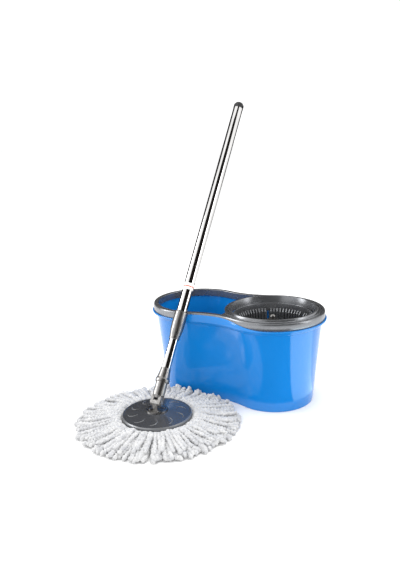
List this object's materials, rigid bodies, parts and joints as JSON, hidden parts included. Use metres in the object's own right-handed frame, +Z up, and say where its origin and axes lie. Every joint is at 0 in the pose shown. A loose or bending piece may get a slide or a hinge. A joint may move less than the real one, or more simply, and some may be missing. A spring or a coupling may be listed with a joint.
{
  "type": "spin mop",
  "caption": "Spin mop with a two-lobed wringing bucket: ribbed spin basket under a round collar, and a round string mop on a tilting telescopic handle with a hand-press spin drive.",
  "frame": {"origin": "on the floor, under the middle of the whole set's box", "axes": "+Z up; +X along the bucket towards the basket's lobe; -Y towards the side where the mop stands"},
  "size_m": [0.4842, 0.6447, 0.7153],
  "materials": {
    "blue_plastic": "glossy moulded blue plastic",
    "silver_plastic": "silver-grey plastic with a metallic sheen",
    "dark_plastic": "anthracite plastic with a soft sheen",
    "black_plastic": "matt black",
    "white_yarn": "white looped microfibre yarn",
    "polished_steel": "mirror-polished stainless steel",
    "plain_steel": "plain machined steel",
    "bearing_brass": "machined",
    "white_nylon": "natural nylon",
    "light_band": "light printed film, plain"
  },
  "bodies": {
    "bucket": {"bucket_shell": "blue_plastic", "rim_frame": "silver_plastic", "spindle_post": "white_nylon", "post_screws": "plain_steel", "spindle_pin": "plain_steel"},
    "bearing_core": {"bearing_sleeve": "plain_steel", "sleeve_clip": "plain_steel"},
    "wringing_basket": {"basket": "silver_plastic", "basket_hub": "silver_plastic", "basket_bush": "bearing_brass", "hub_cap": "silver_plastic", "ball_cap": "polished_steel"},
    "yarn_head": {"mop_strands": "white_yarn", "strand_ring": "black_plastic"},
    "plate_body": {"mop_plate": "dark_plastic", "base_ring": "polished_steel", "plate_lug": "dark_plastic", "lug_screws": "plain_steel"},
    "lower_handle": {"hinge_pin": "plain_steel", "joint_fork": "silver_plastic", "joint_collar": "silver_plastic", "lower_tube": "polished_steel", "nut_housing": "white_nylon", "clutch_ring": "white_nylon", "nut_cover": "white_nylon", "guide_bush": "white_nylon"},
    "nut_body": {"drive_nut": "white_nylon"},
    "upper_handle": {"upper_tube": "polished_steel", "twist_rod": "plain_steel", "rod_stop": "plain_steel", "rod_anchor": "white_nylon", "anchor_pin": "plain_steel", "lock_collet": "white_nylon", "plain_band": "light_band", "end_cap": "black_plastic"},
    "lock_body": {"lock_sleeve": "silver_plastic", "sleeve_seal": "black_plastic"}
  },
  "joints": [
    {"name": "basket_lift", "type": "slide", "parent": "bucket", "child": "bearing_core", "axis": [0, 0, 1], "range_m": [0, 0.15]},
    {"name": "basket_spin", "type": "hinge", "parent": "bearing_core", "child": "wringing_basket", "pos_m": [0.1146, 0.1123, 0.1], "axis": [0, 0, 1], "continuous": true},
    {"name": "mop_away", "type": "slide", "parent": "bucket", "child": "yarn_head", "axis": [0, -1, 0], "range_m": [0, 0.25]},
    {"name": "plate_release", "type": "slide", "parent": "yarn_head", "child": "plate_body", "axis": [0, 0, 1], "range_m": [0, 0.04]},
    {"name": "handle_tilt", "type": "hinge", "parent": "plate_body", "child": "lower_handle", "pos_m": [-0.0621, -0.1423, 0.0525], "axis": [1, 0, 0], "range_deg": [0, 117]},
    {"name": "handle_press", "type": "slide", "parent": "lower_handle", "child": "upper_handle", "axis": [0, 0.5707, 0.8211], "range_m": [-0.06, 0.25]},
    {"name": "drive_nut_turn", "type": "hinge", "parent": "lower_handle", "child": "nut_body", "pos_m": [-0.0621, -0.1423, 0.0525], "axis": [0, 0.5707, 0.8211], "range_deg": [-271, 1126]},
    {"name": "lock_twist", "type": "hinge", "parent": "upper_handle", "child": "lock_body", "pos_m": [-0.0621, -0.1423, 0.0525], "axis": [0, 0.5707, 0.8211], "range_deg": [0, 90]}
  ],
  "couplings": [
    {"joint": "drive_nut_turn", "follows": "handle_press", "rad_per_m": 78.54}
  ]
}
